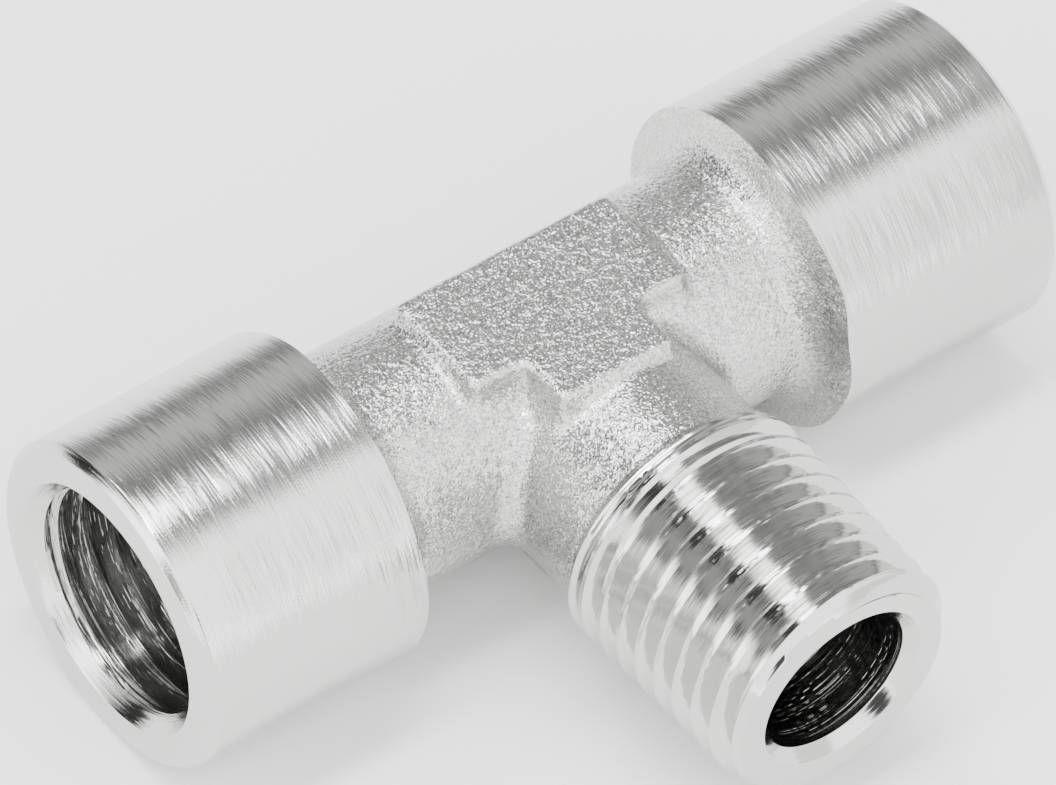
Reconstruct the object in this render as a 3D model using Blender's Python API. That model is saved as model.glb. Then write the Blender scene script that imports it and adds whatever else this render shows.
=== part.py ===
"""Threaded tee fitting in one piece: a forged tee with two turned, tapped collars and a threaded branch.

The run lies along X, the branch points to -Y, and the fitting lies on its side with +Z up.
The origin is on the surface it lies on, under the middle of its outline.
Sizes are in millimetres and are turned to metres where the meshes are made.
"""
import math

import bmesh
import bpy
import numpy as np

MM = 0.001

# Reach of the three ends from the point where the two axes cross
RUN_REACH = 24.87
BRANCH_REACH = 22.97

# Forged body
NECK_DIAMETER = 12.16
NECK_FILLET = 1.3
SHOULDER_ANGLE = math.radians(14.0)
SHOULDER_FILLET = 1.5
FORGING_SHIFT = -0.36

# Raised pad on both broad faces of the forging, with a bar along the run and a stem along the branch
PAD_RISE = 0.45
PAD_WALL = 2.8
PAD_BAR_LENGTH = 12.4
PAD_BAR_WIDTH = 6.16
PAD_STEM_WIDTH = 6.4
PAD_STEM_REACH = 6.0
PAD_SET_FORWARD = 0.12
PAD_OUTER_CORNER = 0.45
PAD_INNER_CORNER = 0.8
PAD_EDGE_ROUND = 0.3
PAD_DRAFT = math.radians(9.0)

# Turned collars and their tapped ports, parallel pipe thread G 1/4
COLLAR_DIAMETER = 16.8
COLLAR_LENGTH = 12.44
COLLAR_EDGE_ROUND = 0.55
PORT_MINOR_DIAMETER = 11.445
PORT_DEPTH = 11.4
PORT_MOUTH_DIAMETER = 12.95
PORT_MOUTH_ANGLE = math.radians(42.0)
DRILL_TIP_ANGLE = math.radians(59.0)
RUN_PASSAGE_DIAMETER = 8.2

# Threaded branch, taper pipe thread R 1/4
THREAD_PITCH = 1.337
THREAD_GAUGE_DIAMETER = 13.157
THREAD_GAUGE_LENGTH = 6.0
THREAD_LENGTH = 11.0
THREAD_RUNOUT = 1.6
THREAD_DEPTH_SHARE = 0.640327
THREAD_FLAT_SHARE = 1.0 / 6.0
TAPER = 1.0 / 16.0
THREAD_END_DIAMETER = 11.84
THREAD_END_ANGLE = math.radians(32.0)
BLANK_LENGTH = 12.5
BLANK_BACK_ANGLE = math.radians(45.0)
BRANCH_BORE_DIAMETER = 7.9
BRANCH_BORE_COUNTERSINK = 0.58

# Fineness of the round surfaces
RUN_SEGMENTS = 56
BRANCH_SEGMENTS = 40
RUN_BORE_SEGMENTS = 28
BRANCH_BORE_SEGMENTS = 36
CORNER_STEPS = 5
FILLET_STEPS = 6
WEB_SECTIONS = 13

# What follows from the sizes above
NECK_RADIUS = NECK_DIAMETER / 2
COLLAR_RADIUS = COLLAR_DIAMETER / 2
SHOULDER_X = RUN_REACH - COLLAR_LENGTH
PAD_HEIGHT = NECK_RADIUS + PAD_RISE
BLANK_START = BRANCH_REACH - BLANK_LENGTH
AXIS_HEIGHT = COLLAR_RADIUS
RUN_AXIS_Y = (BRANCH_REACH - COLLAR_RADIUS) / 2
THREAD_DEPTH = THREAD_DEPTH_SHARE * THREAD_PITCH

# How far the tools reach past the faces they cut and into the bodies they join
OVERSHOOT = 1.0
SUNK = 0.15
WEB_BITE = 0.03
WEB_HEIGHT_SHARE = 0.93
WEB_ROOT_SHARE = 0.35
LONGEST_SIDE_SHARE = 0.49
LEAST_CORNER_SHARE = 0.1
WELD_DISTANCE = 1e-4


def remove_scene_objects():
    """Empties the scene of whatever a new file starts with."""
    for item in list(bpy.data.objects):
        bpy.data.objects.remove(item, do_unlink=True)


def nickel():
    """Nickel plate over forged brass: a slightly warm grey metal with a satin surface."""
    material = bpy.data.materials.new("nickel_plate")
    material.use_nodes = True
    shader = material.node_tree.nodes["Principled BSDF"]
    shader.inputs["Base Color"].default_value = (0.62, 0.62, 0.60, 1.0)
    shader.inputs["Metallic"].default_value = 1.0
    shader.inputs["Roughness"].default_value = 0.3
    return material


def rounded(corner, before, after, radius, steps=CORNER_STEPS):
    """Points of an arc that rounds a corner of a profile, kept within half of its two sides."""
    corner = np.array(corner, float)
    side_a = np.array(before, float) - corner
    side_b = np.array(after, float) - corner
    length_a = np.linalg.norm(side_a)
    length_b = np.linalg.norm(side_b)
    way_a = side_a / length_a
    way_b = side_b / length_b
    half = math.acos(np.clip(np.dot(way_a, way_b), -1.0, 1.0)) / 2
    longest = LONGEST_SIDE_SHARE * min(length_a, length_b)
    reach = min(radius / math.tan(half), longest)
    real_radius = reach * math.tan(half)
    middle_way = (way_a + way_b) / np.linalg.norm(way_a + way_b)
    centre = corner + middle_way * real_radius / math.sin(half)
    sweep = math.pi - 2 * half
    start = corner + way_a * reach - centre
    turn = np.sign(np.cross(start, corner + way_b * reach - centre))
    angles = turn * np.linspace(0.0, sweep, steps)
    turned_x = centre[0] + start[0] * np.cos(angles) - start[1] * np.sin(angles)
    turned_y = centre[1] + start[0] * np.sin(angles) + start[1] * np.cos(angles)
    return list(zip(turned_x, turned_y))


def new_object(name, bm):
    """Turns a bmesh in millimetres into an object in metres whose faces point outwards."""
    bmesh.ops.remove_doubles(bm, verts=bm.verts, dist=WELD_DISTANCE)
    bmesh.ops.dissolve_degenerate(bm, edges=bm.edges, dist=WELD_DISTANCE)
    bmesh.ops.scale(bm, vec=(MM, MM, MM), verts=bm.verts)
    bmesh.ops.recalc_face_normals(bm, faces=bm.faces)
    mesh = bpy.data.meshes.new(name)
    bm.to_mesh(mesh)
    bm.free()
    item = bpy.data.objects.new(name, mesh)
    bpy.context.scene.collection.objects.link(item)
    return item


def grid_solid(name, rings):
    """Skins a stack of closed rings of points, and closes both ends with a flat face."""
    bm = bmesh.new()
    rows = [[bm.verts.new(point) for point in ring] for ring in rings]
    count = len(rows[0])
    for lower, upper in zip(rows[:-1], rows[1:]):
        for i in range(count):
            j = (i + 1) % count
            bm.faces.new((lower[i], lower[j], upper[j], upper[i]))
    bm.faces.new(rows[0])
    bm.faces.new(rows[-1])
    return new_object(name, bm)


def turned(name, profile, axis, segments):
    """A solid of revolution whose profile is a list of (place along the axis, radius)."""
    angles = np.arange(segments) * 2 * math.pi / segments
    rings = []
    for along, radius in profile:
        across = radius * np.cos(angles)
        up = radius * np.sin(angles)
        level = np.full(segments, along)
        if axis == "X":
            rings.append(np.stack([level, across, up], 1))
        else:
            rings.append(np.stack([across, -level, up], 1))
    return grid_solid(name, rings)


def run_end_profile(side):
    """Half of the run's outer profile, from the middle of the neck to the mouth of one collar."""
    shoulder = SHOULDER_X + side * FORGING_SHIFT
    slope = (COLLAR_RADIUS - NECK_RADIUS) * math.tan(SHOULDER_ANGLE)
    middle = (0.0, NECK_RADIUS)
    foot = (shoulder - slope, NECK_RADIUS)
    rim = (shoulder, COLLAR_RADIUS)
    edge = (RUN_REACH, COLLAR_RADIUS)
    wall = (RUN_REACH, PORT_MOUTH_DIAMETER / 2)
    points = rounded(foot, middle, rim, SHOULDER_FILLET, FILLET_STEPS)
    points.append(rim)
    points += rounded(edge, rim, wall, COLLAR_EDGE_ROUND)
    return points


def run_body():
    """Neck, shoulders and collars of the run, turned about X."""
    right = run_end_profile(1)
    left = [(-x, radius) for x, radius in reversed(run_end_profile(-1))]
    return turned("tee_body", left + right, "X", RUN_SEGMENTS)


def thread_major_radius(place):
    """Crest radius of the taper thread at a distance from the crossing of the axes."""
    from_end = BRANCH_REACH - place
    return (THREAD_GAUGE_DIAMETER + (from_end - THREAD_GAUGE_LENGTH) * TAPER) / 2


def thread_share(turn):
    """How deep a groove is at a turn of the thread: flat crests and roots joined by straight flanks."""
    off_crest = np.abs(turn % 1.0 - 0.5) - THREAD_FLAT_SHARE / 2
    return np.clip(off_crest / (0.5 - THREAD_FLAT_SHARE), 0.0, 1.0)


def thread_levels(angle, low, high):
    """Places of the corners of a right-handed thread between two ends, in order, at one angle."""
    half_flat = THREAD_FLAT_SHARE / 2
    corners = np.array([half_flat, 0.5 - half_flat, 0.5 + half_flat, 1.0 - half_flat])
    turns = np.arange(math.floor(low / THREAD_PITCH) - 1, math.ceil(high / THREAD_PITCH) + 2)
    helix = ((turns[:, None] + corners[None, :]) * THREAD_PITCH).ravel()
    return np.clip(helix + angle / (2 * math.pi) * THREAD_PITCH, low, high)


def column_solid(name, columns):
    """Skins columns of points that stand side by side round an axis, and closes both ends."""
    bm = bmesh.new()
    rows = [[bm.verts.new(point) for point in column] for column in columns]
    for left, right in zip(rows[:-1], rows[1:]):
        for i in range(len(left) - 1):
            bm.faces.new((left[i], left[i + 1], right[i + 1], right[i]))
    bmesh.ops.remove_doubles(bm, verts=bm.verts, dist=WELD_DISTANCE)
    bmesh.ops.dissolve_degenerate(bm, edges=bm.edges, dist=WELD_DISTANCE)
    bmesh.ops.holes_fill(bm, edges=[edge for edge in bm.edges if edge.is_boundary], sides=0)
    return new_object(name, bm)


def branch_groove(place, angle):
    """Depth of the branch's helical groove, which fades out at its end and in the end chamfer."""
    turn = place / THREAD_PITCH - angle / (2 * math.pi)
    start = BRANCH_REACH - THREAD_LENGTH - THREAD_RUNOUT / 2
    chamfer = (thread_major_radius(BRANCH_REACH) - THREAD_END_DIAMETER / 2) / math.tan(THREAD_END_ANGLE)
    fade = np.clip((place - start) / THREAD_RUNOUT, 0.0, 1.0)
    end_fade = np.clip((BRANCH_REACH - place) / chamfer, 0.0, 1.0)
    return thread_share(turn) * fade * end_fade * THREAD_DEPTH


def branch_skin(place, angle):
    """Radius of the branch: its neck, then the thread between the chamfers at its back and its end."""
    end = THREAD_END_DIAMETER / 2 + (BRANCH_REACH - place) * math.tan(THREAD_END_ANGLE)
    back = NECK_RADIUS + np.maximum(place - BLANK_START, 0.0) * math.tan(BLANK_BACK_ANGLE)
    thread = thread_major_radius(place) - branch_groove(place, angle)
    return np.minimum(np.minimum(end, back), thread)


def branch_body():
    """Neck and thread about -Y, on lines that follow the helix and are cut square at both ends.

    Each column of points has the helix's corners and the chamfers' edges in order of their place.
    """
    high = BRANCH_REACH
    major = thread_major_radius(high)
    back_top = BLANK_START + (major - NECK_RADIUS) / math.tan(BLANK_BACK_ANGLE)
    end_top = high - (major - THREAD_END_DIAMETER / 2) / math.tan(THREAD_END_ANGLE)
    fixed = [0.0, BLANK_START, back_top, end_top, high]
    columns = []
    for angle in (np.arange(BRANCH_SEGMENTS + 1) + 0.5) * 2 * math.pi / BRANCH_SEGMENTS:
        levels = np.sort(np.concatenate([thread_levels(angle, BLANK_START, high), fixed]))
        radii = branch_skin(levels, angle)
        columns.append(np.stack([radii * math.cos(angle), -levels, radii * math.sin(angle)], 1))
    return column_solid("branch_body", columns)


def neck_web(side):
    """Fillet in the corner between run and branch: what a ball rolling on both necks leaves filled.

    The ball's centre stays one ball radius off both cylinders, so its distance from the two axes
    is equal, and each section is the arc between the two points where the ball touches.
    """
    ball = NECK_FILLET
    roll = NECK_RADIUS + ball - WEB_BITE
    share = (NECK_RADIUS - SUNK) / NECK_RADIUS
    top = WEB_HEIGHT_SHARE * roll
    rings = []
    for height in np.linspace(-top, top, WEB_SECTIONS):
        away = math.sqrt(roll * roll - height * height)
        centre = np.array([-away, -away, height])
        touch = (roll - ball) / roll
        on_run = np.array([-away, -away * touch, height * touch])
        on_branch = on_run[[1, 0, 2]]
        way_a = (on_run - centre) / ball
        way_b = (on_branch - centre) / ball
        between = math.acos(np.clip(np.dot(way_a, way_b), -1.0, 1.0))
        shares = np.linspace(0.0, 1.0, FILLET_STEPS)[:, None]
        arc = (np.sin((1 - shares) * between) * way_a + np.sin(shares * between) * way_b) / math.sin(between)
        arc = centre + arc * ball
        inner_run = on_run * np.array([1.0, share, share])
        inner_branch = on_branch * np.array([share, 1.0, share])
        inner = on_run * np.array([WEB_ROOT_SHARE, 0.0, 2 * WEB_ROOT_SHARE])
        inner[1] = inner[0]
        rings.append(np.vstack([inner_run, arc, inner_branch, inner]) * np.array([-side, 1.0, 1.0]))
    return grid_solid("neck_web", rings)


def pad_outline(grow):
    """Plan outline of the pad, a T with rounded corners, moved outwards by grow."""
    bar = PAD_BAR_LENGTH / 2
    half = PAD_BAR_WIDTH / 2
    stem = PAD_STEM_WIDTH / 2
    corners = [
        (bar, half, 1),
        (-bar, half, 1),
        (-bar, -half, 1),
        (-stem, -half, -1),
        (-stem, -PAD_STEM_REACH, 1),
        (stem, -PAD_STEM_REACH, 1),
        (stem, -half, -1),
        (bar, -half, 1),
    ]
    outline = []
    for index, (x, y, bulge) in enumerate(corners):
        before = np.array(corners[index - 1][:2])
        after = np.array(corners[(index + 1) % len(corners)][:2])
        corner = np.array([x, y])
        way_in = (before - corner) / np.linalg.norm(before - corner)
        way_out = (after - corner) / np.linalg.norm(after - corner)
        radius = PAD_OUTER_CORNER if bulge > 0 else PAD_INNER_CORNER
        centre = corner + (way_in + way_out) * radius
        real_radius = max(radius + bulge * grow, LEAST_CORNER_SHARE * radius)
        shares = np.linspace(0.0, math.pi / 2, CORNER_STEPS)
        for share in shares:
            outline.append(centre - real_radius * (way_out * math.cos(share) + way_in * math.sin(share)))
    return np.array(outline)


def pad_block():
    """The pad on both faces, one drafted block through the forging with its top edges rounded."""
    grow = (PAD_WALL - PAD_EDGE_ROUND) * math.tan(PAD_DRAFT)
    levels = [(PAD_HEIGHT - PAD_WALL, grow)]
    for angle in np.linspace(PAD_DRAFT, math.pi / 2, CORNER_STEPS):
        drop = PAD_EDGE_ROUND * (1.0 - math.sin(angle))
        inset = PAD_EDGE_ROUND * (1.0 - math.cos(angle))
        levels.append((PAD_HEIGHT - drop, -inset))
    levels = [(-height, grow) for height, grow in reversed(levels)] + levels
    rings = []
    for height, grow in levels:
        plan = pad_outline(grow) + np.array([FORGING_SHIFT, -PAD_SET_FORWARD])
        rings.append(np.column_stack([plan, np.full(len(plan), height)]))
    return grid_solid("pad_block", rings)


def port_radius(place, turn):
    """Radius of a port: passage, drill cone, minor diameter with the tapped groove, and countersink.

    The groove is cut outwards, and fades at the tap's end and towards the mouth's face.
    """
    minor = PORT_MINOR_DIAMETER / 2
    mouth = PORT_MOUTH_DIAMETER / 2
    bottom = RUN_REACH - PORT_DEPTH
    sink = max((mouth - minor) / math.tan(PORT_MOUTH_ANGLE), WELD_DISTANCE)
    fade = np.clip((place - bottom) / THREAD_RUNOUT, 0.0, 1.0)
    mouth_fade = np.clip((RUN_REACH - place) / sink, 0.0, 1.0)
    groove = (1.0 - thread_share(turn)) * fade * mouth_fade * THREAD_DEPTH
    drill = minor - (bottom - place) * math.tan(DRILL_TIP_ANGLE)
    wall = np.where(place < bottom, np.maximum(drill, RUN_PASSAGE_DIAMETER / 2), minor + groove)
    return np.maximum(wall, mouth - (RUN_REACH - place) * math.tan(PORT_MOUTH_ANGLE))


def run_bore():
    """Both tapped ports with their countersinks and drill cones, and the passage between, about X."""
    minor = PORT_MINOR_DIAMETER / 2
    mouth = PORT_MOUTH_DIAMETER / 2
    bottom = RUN_REACH - PORT_DEPTH
    tip = bottom - (minor - RUN_PASSAGE_DIAMETER / 2) / math.tan(DRILL_TIP_ANGLE)
    foot = min(RUN_REACH - (mouth - minor) / math.tan(PORT_MOUTH_ANGLE), RUN_REACH)
    fixed = np.array([tip, bottom, foot, RUN_REACH, RUN_REACH + OVERSHOOT])
    columns = []
    for angle in np.arange(RUN_BORE_SEGMENTS + 1) * 2 * math.pi / RUN_BORE_SEGMENTS:
        left = thread_levels(angle, -RUN_REACH, -bottom)
        right = thread_levels(angle, bottom, RUN_REACH)
        levels = np.sort(np.concatenate([left, right, fixed, -fixed]))
        radii = port_radius(np.abs(levels), levels / THREAD_PITCH - angle / (2 * math.pi))
        columns.append(np.stack([levels, radii * math.cos(angle), radii * math.sin(angle)], 1))
    return column_solid("run_bore", columns)


def branch_bore():
    """The branch's bore with its countersink, about Y, open into the run passage."""
    bore = BRANCH_BORE_DIAMETER / 2
    profile = [
        (0.0, bore),
        (BRANCH_REACH - BRANCH_BORE_COUNTERSINK, bore),
        (BRANCH_REACH + OVERSHOOT, bore + BRANCH_BORE_COUNTERSINK + OVERSHOOT),
    ]
    return turned("branch_bore", profile, "Y", BRANCH_BORE_SEGMENTS)


def add_boolean(body, tool, operation):
    """Joins a tool to the body or cuts it away, and hides the tool."""
    tool.parent = body
    tool.hide_render = True
    tool.display_type = "WIRE"
    modifier = body.modifiers.new(tool.name, "BOOLEAN")
    modifier.operation = operation
    modifier.object = tool
    modifier.solver = "EXACT"


def smooth_shade(body):
    """Shades the round surfaces smooth and keeps the thread's and the pad's edges sharp."""
    body.data.shade_smooth()
    body.data.set_sharp_from_angle(angle=math.radians(30.0))


def build():
    remove_scene_objects()
    body = run_body()
    add_boolean(body, branch_body(), "UNION")
    for side in (-1, 1):
        add_boolean(body, neck_web(side), "UNION")
    add_boolean(body, pad_block(), "UNION")
    add_boolean(body, run_bore(), "DIFFERENCE")
    add_boolean(body, branch_bore(), "DIFFERENCE")
    body.data.materials.append(nickel())
    smooth_shade(body)
    body.location = (0.0, RUN_AXIS_Y * MM, AXIS_HEIGHT * MM)


build()
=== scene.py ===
"""Looks of the threaded tee fitting: forged skin, turned collars, cut threads and drilled bores.

The whole fitting is one skin, as the real one is one piece. Its parts are grids of points worked out
with numpy about the run's axis or the branch's axis, and they share the points along their borders.
All shapes are made in millimetres from the point where the two axes cross, with the run along X and
the branch to -Y, and are moved to the CAD's place at the end.
"""
import math

import bmesh
import bpy
import numpy as np
from mathutils import Matrix, Vector


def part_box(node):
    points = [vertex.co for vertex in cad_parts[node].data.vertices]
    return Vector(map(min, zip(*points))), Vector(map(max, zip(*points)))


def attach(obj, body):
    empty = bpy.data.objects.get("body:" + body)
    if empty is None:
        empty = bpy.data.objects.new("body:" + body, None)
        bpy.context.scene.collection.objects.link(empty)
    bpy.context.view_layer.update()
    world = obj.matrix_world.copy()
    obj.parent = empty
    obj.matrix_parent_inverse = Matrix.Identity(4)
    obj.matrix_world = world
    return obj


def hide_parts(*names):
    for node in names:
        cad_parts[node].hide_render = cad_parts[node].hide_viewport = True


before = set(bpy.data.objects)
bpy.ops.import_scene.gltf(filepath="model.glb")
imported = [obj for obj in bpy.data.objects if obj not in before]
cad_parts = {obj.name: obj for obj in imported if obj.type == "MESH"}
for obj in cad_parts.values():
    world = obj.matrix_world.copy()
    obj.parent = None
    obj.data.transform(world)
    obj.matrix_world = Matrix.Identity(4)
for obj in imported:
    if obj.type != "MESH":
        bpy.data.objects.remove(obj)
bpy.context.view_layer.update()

MM = 0.001
TURN = 2 * math.pi

# Sizes that follow from the CAD node's box
LOW, HIGH = [np.array(corner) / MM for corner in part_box("tee_body")]
RUN_REACH = HIGH[0]
COLLAR_RADIUS = (HIGH[2] - LOW[2]) / 2
CROSSING = np.array([0.0, HIGH[1] - COLLAR_RADIUS, LOW[2] + COLLAR_RADIUS])
BRANCH_REACH = CROSSING[1] - LOW[1]

# Forged middle, as in the CAD but for the fillet at the pad's foot
NECK_RADIUS = 6.08
NECK_FILLET = 1.3
COLLAR_LENGTH = 12.44
SHOULDER_ANGLE = math.radians(14.0)
SHOULDER_FILLET = 1.5
FORGING_SHIFT = -0.36
PAD_RISE = 0.45
PAD_HEIGHT = NECK_RADIUS + PAD_RISE
PAD_BAR_HALF = 6.2
PAD_BAR_HALF_WIDTH = 3.08
PAD_STEM_HALF_WIDTH = 3.2
PAD_STEM_REACH = 6.0
PAD_SET_FORWARD = 0.12
PAD_OUTER_CORNER = 0.45
PAD_INNER_CORNER = 0.8
PAD_EDGE_ROUND = 0.3
PAD_FOOT_ROUND = 0.45
PAD_DRAFT = math.radians(9.0)

# Turned collars and tapped ports, G 1/4
COLLAR_CHAMFER = 0.44
COLLAR_EDGE_ROUND = 0.25
MOUTH_EDGE_ROUND = 0.08
MOUTH_BAND = 0.12
PORT_MAJOR_RADIUS = 13.157 / 2
PORT_MINOR_RADIUS = 11.445 / 2
PORT_DEPTH = 11.4
PORT_MOUTH_RADIUS = 12.95 / 2
PORT_MOUTH_ANGLE = math.radians(42.0)
DRILL_TIP_ANGLE = math.radians(59.0)
PASSAGE_RADIUS = 4.1
TAP_LEAD = 0.6
TAP_FADE = 1.2
THREAD_START = 0.7
THREAD_PAST_FOOT = 0.1

# Threaded branch, R 1/4
THREAD_PITCH = 1.337
GAUGE_RADIUS = 13.157 / 2
GAUGE_LENGTH = 6.0
THREAD_LENGTH = 11.0
THREAD_RUNOUT = 1.6
THREAD_DEPTH_SHARE = 0.640327
THREAD_DEPTH = THREAD_DEPTH_SHARE * THREAD_PITCH
THREAD_FLAT = 1.0 / 6.0
TAPER = 1.0 / 32.0
BLANK_LENGTH = 12.5
BLANK_START = BRANCH_REACH - BLANK_LENGTH
BLANK_BACK_ANGLE = math.radians(45.0)
BLANK_SPARE = 0.16
THREAD_END_RADIUS = 5.92
THREAD_END_ANGLE = math.radians(32.0)
BRANCH_BORE_RADIUS = 3.95
BORE_COUNTERSINK = 0.58
SINK_EDGE_ROUND = 0.06
SINK_FOOT_ROUND = 0.1

# Burrs on the crest edges of both threads: shares are of the pitch, or of the burr's height
BURR_HEIGHT = 0.012
BURR_WIDTH_SHARE = 0.05
BURR_FADE = 0.2
BURR_WAVES = 40
BURR_MOST_SHARE = 1.2
# For each thread the grain of its burrs in mm, their seed, their lift and their least share
PORT_BURR = (0.5, 13, 0.0, -0.3)
BRANCH_BURR = (0.4, 11, -0.1, 0.0)

# Fineness of the skin: columns round each axis, rows along them, and points of a rounded edge
RUN_COLUMNS = 224
BRANCH_COLUMNS = 176
INNER_RUN_COLUMNS = 56
INNER_BRANCH_COLUMNS = 44
NECK_STEPS = (6, 14)
NECK_STEPS_BY_PAD = (10, 4, 14)
BRANCH_NECK_STEPS = (14, 7, 7, 15)
FOOT_ROWS = 14
CONE_ROWS = 12
BARREL_ROWS = 5
PASSAGE_ROWS = 7
BORE_ROWS = 9
EDGE_STEPS = 4

# Where columns are set close together: at the angle of the pad's long walls off the top
ANGLE_MARKS = 2881
PAD_WALL_ANGLE = math.radians(27.0)
PAD_WALL_SPREAD = math.radians(6.5)
PAD_WALL_CROWDING = 2.6
KNEE_ANGLE = math.radians(102.0)

# Where rows are set close together: past the neck's fillet, at the pad's end and over its front
PAST_FILLET = 0.1
PAD_FOOT_REACH = 0.4
PAD_END_BAND = 0.9
FRONT_SHARE = 0.55
OVER_FRONT_SHARE = 0.3

# Rows on a thread's flank, as shares of the pitch: its middle, and for each thread after the root and
# before the crest
FLANK_MIDDLE = 0.27
PORT_FLANK = (0.05, 0.47)
BRANCH_FLANK = (0.02, 0.48)
# Rows beside the tops of the branch's two chamfers, in mm
BACK_TOP_ROWS = (-0.05, 0.0, 0.1)
END_TOP_ROWS = (-0.04, 0.0)

# Steps over which a ring of points is halved, in mm
CONE_STEP = 0.05
BORE_STEP = 0.4

# Where the forging's grit fades: below the rim, as a share of the shoulder's rise, and before the thread
RIM_GRIT_SHARE = 0.12
THREAD_GRIT_FADE = 0.4

# Welding, rays, shading, and the least value that a share is divided by
WELD_DISTANCE = 2e-4
RAY_REACH = 14.0
SHARP_ANGLE = math.radians(28.0)
TINY = 1e-6

# Finishes, in the order of the skin's material slots
FORGED, TURNED, THREADED, TAPPED, DRILLED = range(5)


class Skin:
    """Collects grids of points and their triangles, each with one finish and a share of grit."""

    def __init__(self):
        self.points = []
        self.faces = []
        self.finish = []
        self.grit = []
        self.count = 0

    def add(self, points, faces, finish, grit=0.0):
        """Adds points as an (n, 3) array and triangles as an (m, 3) array of their numbers."""
        self.points.append(points)
        self.faces.append(faces + self.count)
        self.finish.append(np.broadcast_to(finish, len(faces)))
        self.grit.append(np.broadcast_to(grit, len(points)))
        self.count += len(points)

    def add_grid(self, grid, finish, closed=False, grit=0.0):
        """Adds a grid of points (rows, columns, 3); closed joins its last column to its first.

        finish is one for the grid or one for each of its cells, and grit is how rough the skin is, as
        one number or one for each row.
        """
        rows, columns = grid.shape[:2]
        grit = np.broadcast_to(np.reshape(grit, (-1, 1)), (rows, columns)).ravel()
        index = np.arange(rows * columns).reshape(rows, columns)
        if closed:
            index = np.concatenate([index, index[:, :1]], 1)
        a = index[:-1, :-1].ravel()
        b = index[:-1, 1:].ravel()
        c = index[1:, 1:].ravel()
        d = index[1:, :-1].ravel()
        faces = np.concatenate([np.stack([a, b, c], 1), np.stack([a, c, d], 1)])
        finish = np.broadcast_to(finish, (rows - 1, index.shape[1] - 1)).ravel()
        self.add(grid.reshape(-1, 3), faces, np.tile(finish, 2), grit)

    def add_halving(self, fine, coarse, finish):
        """Joins a closed ring of points to one with half as many, three triangles to each pair."""
        half = len(coarse)
        even = np.arange(half) * 2
        after = (even + 2) % (2 * half)
        ring = 2 * half + np.arange(half)
        ring_after = 2 * half + (np.arange(half) + 1) % half
        faces = np.concatenate([
            np.stack([even, even + 1, ring], 1),
            np.stack([even + 1, ring_after, ring], 1),
            np.stack([even + 1, after, ring_after], 1),
        ])
        self.add(np.concatenate([fine, coarse]), faces, finish)


# Shape of the forged middle

def round_union(a, b, radius, likeness):
    """Distance to two joined solids with their corner filled by a rolling ball.

    a and b are the distances to the two, and likeness is the cosine between their normals. The ball's
    centre lies one radius off both, so it is found from the two planes that touch there.
    """
    lack_a = radius - a
    lack_b = radius - b
    in_a = lack_a - likeness * lack_b
    in_b = lack_b - likeness * lack_a
    spread = np.maximum(1.0 - likeness * likeness, TINY)
    away = (lack_a ** 2 + lack_b ** 2 - 2 * likeness * lack_a * lack_b) / spread
    filled = (in_a > 0) & (in_b > 0)
    return np.where(filled, radius - np.sqrt(np.maximum(away, 0.0)), np.minimum(a, b))


def round_cut(a, b, radius):
    """Distance to what two solids have in common, with their edge rounded to a radius."""
    over_a = np.maximum(radius + a, 0.0)
    over_b = np.maximum(radius + b, 0.0)
    return np.minimum(-radius, np.maximum(a, b)) + np.hypot(over_a, over_b)


def square_fillet(a, b, radius):
    """Distance to two joined solids that meet at about a right angle, with a fillet in the corner."""
    lack_a = np.maximum(radius - a, 0.0)
    lack_b = np.maximum(radius - b, 0.0)
    return np.maximum(radius, np.minimum(a, b)) - np.hypot(lack_a, lack_b)


def rectangle(x, y, half_x, half_y, corner):
    """Distance in the plan to a rectangle about the origin with rounded corners."""
    out_x = np.abs(x) - half_x + corner
    out_y = np.abs(y) - half_y + corner
    outside = np.hypot(np.maximum(out_x, 0.0), np.maximum(out_y, 0.0))
    return outside + np.minimum(np.maximum(out_x, out_y), 0.0) - corner


def pad_plan(x, y):
    """Distance in the plan to the pad's outline: a bar along the run joined to a stem on the branch."""
    bar = rectangle(x, y, PAD_BAR_HALF, PAD_BAR_HALF_WIDTH, PAD_OUTER_CORNER)
    stem_back = PAD_BAR_HALF_WIDTH - 2 * PAD_INNER_CORNER
    stem_half = (stem_back + PAD_STEM_REACH) / 2
    stem_middle = (stem_back - PAD_STEM_REACH) / 2
    stem = rectangle(x, y - stem_middle, PAD_STEM_HALF_WIDTH, stem_half, PAD_OUTER_CORNER)
    return square_fillet(bar, stem, PAD_INNER_CORNER)


def forged_distance(p):
    """Distance to the forged middle: two crossing necks with filled corners, and the pad on both sides."""
    x, y, z = p[..., 0], p[..., 1], p[..., 2]
    from_run = np.hypot(y, z)
    from_branch = np.where(y < 0, np.hypot(x, z), np.sqrt(x * x + y * y + z * z))
    in_front = z * z / np.maximum(from_run * from_branch, TINY)
    behind = from_run / np.maximum(from_branch, TINY)
    likeness = np.where(y < 0, in_front, behind)
    necks = round_union(from_run - NECK_RADIUS, from_branch - NECK_RADIUS, NECK_FILLET, likeness)
    height = np.abs(z)
    plan = pad_plan(x - FORGING_SHIFT, y + PAD_SET_FORWARD)
    wall = plan * math.cos(PAD_DRAFT) + (height - PAD_HEIGHT) * math.sin(PAD_DRAFT)
    pad = round_cut(wall, height - PAD_HEIGHT, PAD_EDGE_ROUND)
    return square_fillet(necks, pad, PAD_FOOT_ROUND)


def bore_distance(p):
    """Distance to the two drilled passages where they meet."""
    x, y, z = p[..., 0], p[..., 1], p[..., 2]
    from_branch = np.where(y < 0, np.hypot(x, z), np.sqrt(x * x + y * y + z * z))
    return np.minimum(np.hypot(y, z) - PASSAGE_RADIUS, from_branch - BRANCH_BORE_RADIUS)


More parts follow.
